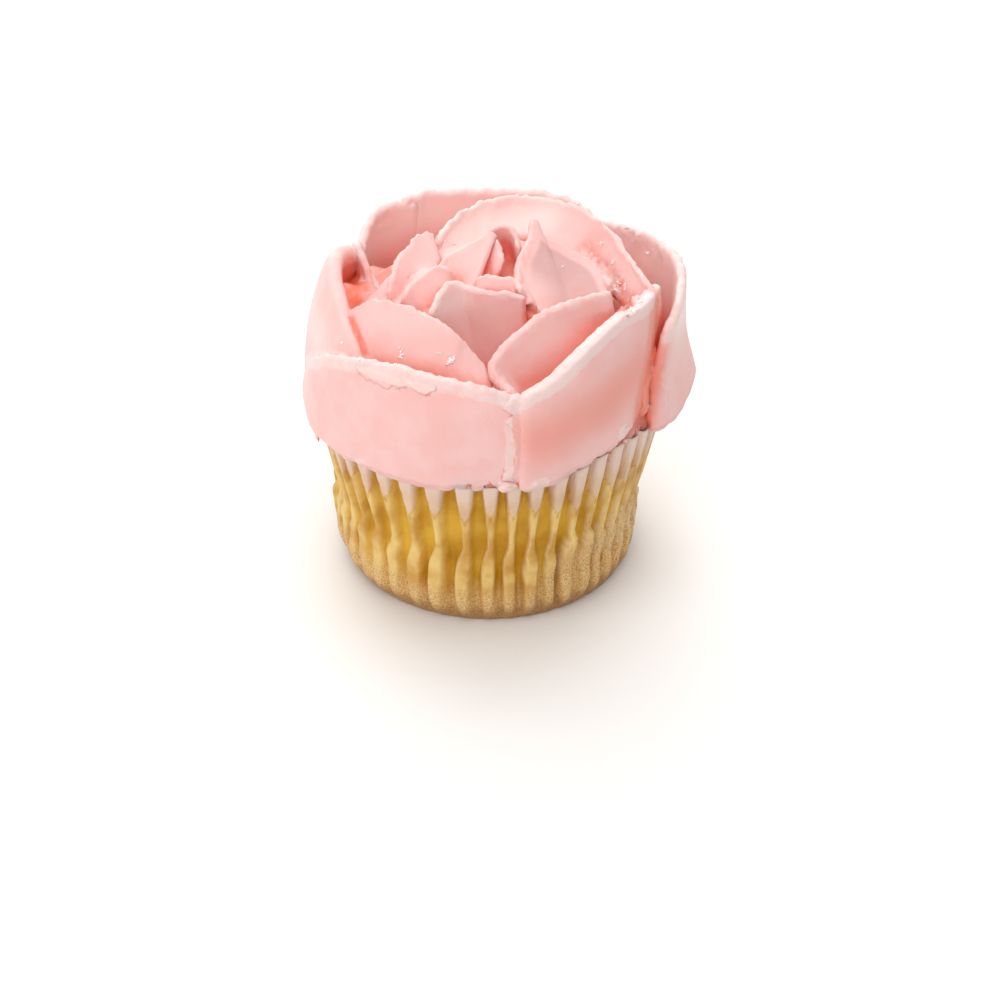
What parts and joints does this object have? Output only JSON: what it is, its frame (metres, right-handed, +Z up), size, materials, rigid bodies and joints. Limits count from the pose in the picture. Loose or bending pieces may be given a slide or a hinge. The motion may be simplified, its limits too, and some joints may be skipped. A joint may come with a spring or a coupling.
{
  "type": "cupcake",
  "caption": "Cupcake in a pleated paper baking case, iced with a piped buttercream rose whose petals overhang the case.",
  "frame": {"origin": "middle of the case's flat bottom, on the surface that the cupcake stands on", "axes": "+Z up, -Y towards the side that the picture shows, +X to its right"},
  "size_m": [0.0694, 0.0661, 0.0633],
  "materials": {
    "paper": "thin greaseproof paper, pleated, pale and see-through at the rim, stained amber by the cake, toasted brown at the bottom",
    "sponge": "baked yellow sponge with a fine open crumb",
    "buttercream": "pale pink piped buttercream, satin, with whiter dried lips and a few sugar crystals"
  },
  "bodies": {
    "root": {"paper_case": "paper", "sponge": "sponge", "icing_rose": "buttercream"}
  },
  "joints": []
}
